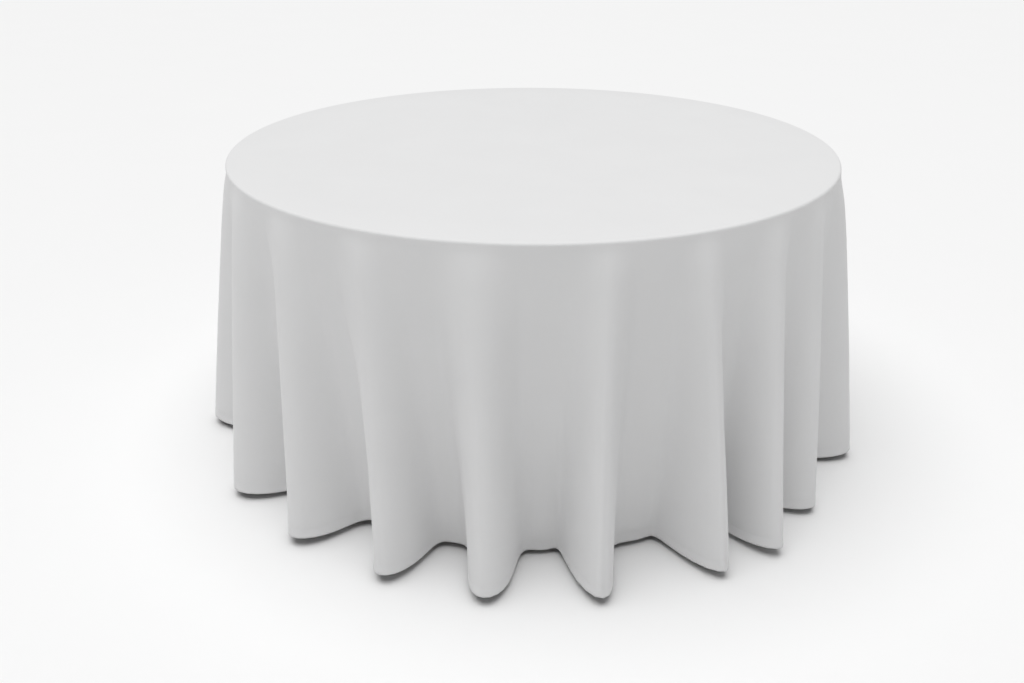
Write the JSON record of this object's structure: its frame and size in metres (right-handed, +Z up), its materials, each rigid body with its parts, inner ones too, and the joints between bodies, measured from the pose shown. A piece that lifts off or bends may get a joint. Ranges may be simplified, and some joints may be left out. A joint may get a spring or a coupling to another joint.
{
  "type": "tablecloth on a table",
  "caption": "Round folding table covered to the floor by a plain white round tablecloth that falls in soft folds; legs fold flat under the top.",
  "frame": {"origin": "on the floor, under the middle of the round top", "axes": "+Z up, -Y the front; the leg sets stand at -X and +X and fold towards each other"},
  "size_m": [1.7655, 1.7773, 0.7631],
  "materials": {
    "cloth": "matt plain-weave white polyester",
    "hem": "matt plain-weave white polyester, turned under",
    "plywood": "lacquered plywood",
    "hardwood": "planed hardwood",
    "edge_band": "satin vinyl",
    "leg_steel": "grey powder coat",
    "brace_bars": "zinc plated",
    "fixings": "zinc plated",
    "feet": "moulded rubber"
  },
  "bodies": {
    "table": {"table_top": "plywood", "edge_band": "edge_band", "left_rail": "hardwood", "left_brace_block": "hardwood", "left_front_pivot_bracket": "leg_steel", "left_back_pivot_bracket": "leg_steel", "left_brace_bracket": "leg_steel", "left_top_pin": "fixings", "left_front_outer_screw": "fixings", "left_front_inner_screw": "fixings", "left_back_outer_screw": "fixings", "left_back_inner_screw": "fixings", "left_brace_outer_screw": "fixings", "left_brace_inner_screw": "fixings", "right_rail": "hardwood", "right_brace_block": "hardwood", "right_front_pivot_bracket": "leg_steel", "right_back_pivot_bracket": "leg_steel", "right_brace_bracket": "leg_steel", "right_top_pin": "fixings", "right_front_outer_screw": "fixings", "right_front_inner_screw": "fixings", "right_back_outer_screw": "fixings", "right_back_inner_screw": "fixings", "right_brace_outer_screw": "fixings", "right_brace_inner_screw": "fixings"},
    "cloth": {"tablecloth": "cloth", "hem": "hem"},
    "left_legs": {"left_pivot_tube": "leg_steel", "left_front_leg": "leg_steel", "left_back_leg": "leg_steel", "left_stretcher": "leg_steel", "left_front_foot": "feet", "left_back_foot": "feet", "left_brace_lug": "leg_steel", "left_bottom_pin": "fixings"},
    "left_upper_arm": {"left_upper_brace": "brace_bars", "left_middle_pin": "fixings"},
    "left_lower_arm": {"left_lower_brace": "brace_bars"},
    "right_legs": {"right_pivot_tube": "leg_steel", "right_front_leg": "leg_steel", "right_back_leg": "leg_steel", "right_stretcher": "leg_steel", "right_front_foot": "feet", "right_back_foot": "feet", "right_brace_lug": "leg_steel", "right_bottom_pin": "fixings"},
    "right_upper_arm": {"right_upper_brace": "brace_bars", "right_middle_pin": "fixings"},
    "right_lower_arm": {"right_lower_brace": "brace_bars"}
  },
  "joints": [
    {"name": "cloth_lift", "type": "slide", "parent": "table", "child": "cloth", "axis": [0, 0, 1], "range_m": [0, 0.8], "deforming": ["tablecloth", "hem"]},
    {"name": "left_leg_fold", "type": "hinge", "parent": "table", "child": "left_legs", "pos_m": [-0.4, 0, 0.702], "axis": [0, -1, 0], "range_deg": [0, 93]},
    {"name": "left_upper_arm_turn", "type": "hinge", "parent": "table", "child": "left_upper_arm", "pos_m": [-0.12, 0, 0.702], "axis": [0, 1, 0], "range_deg": [0, 50.3]},
    {"name": "left_lower_arm_turn", "type": "hinge", "parent": "left_legs", "child": "left_lower_arm", "pos_m": [-0.41884, 0, 0.34249], "axis": [0, -1, 0], "range_deg": [0, 36.8]},
    {"name": "right_leg_fold", "type": "hinge", "parent": "table", "child": "right_legs", "pos_m": [0.4, 0, 0.67], "axis": [0, 1, 0], "range_deg": [0, 93]},
    {"name": "right_upper_arm_turn", "type": "hinge", "parent": "table", "child": "right_upper_arm", "pos_m": [0.12, 0, 0.67], "axis": [0, -1, 0], "range_deg": [0, 50.3]},
    {"name": "right_lower_arm_turn", "type": "hinge", "parent": "right_legs", "child": "right_lower_arm", "pos_m": [0.41884, 0, 0.31049], "axis": [0, 1, 0], "range_deg": [0, 36.8]}
  ],
  "couplings": [
    {"joint": "left_upper_arm_turn", "follows": "left_leg_fold", "ratio": 0.54048},
    {"joint": "left_lower_arm_turn", "follows": "left_leg_fold", "ratio": 0.395},
    {"joint": "right_upper_arm_turn", "follows": "right_leg_fold", "ratio": 0.54048},
    {"joint": "right_lower_arm_turn", "follows": "right_leg_fold", "ratio": 0.395}
  ]
}
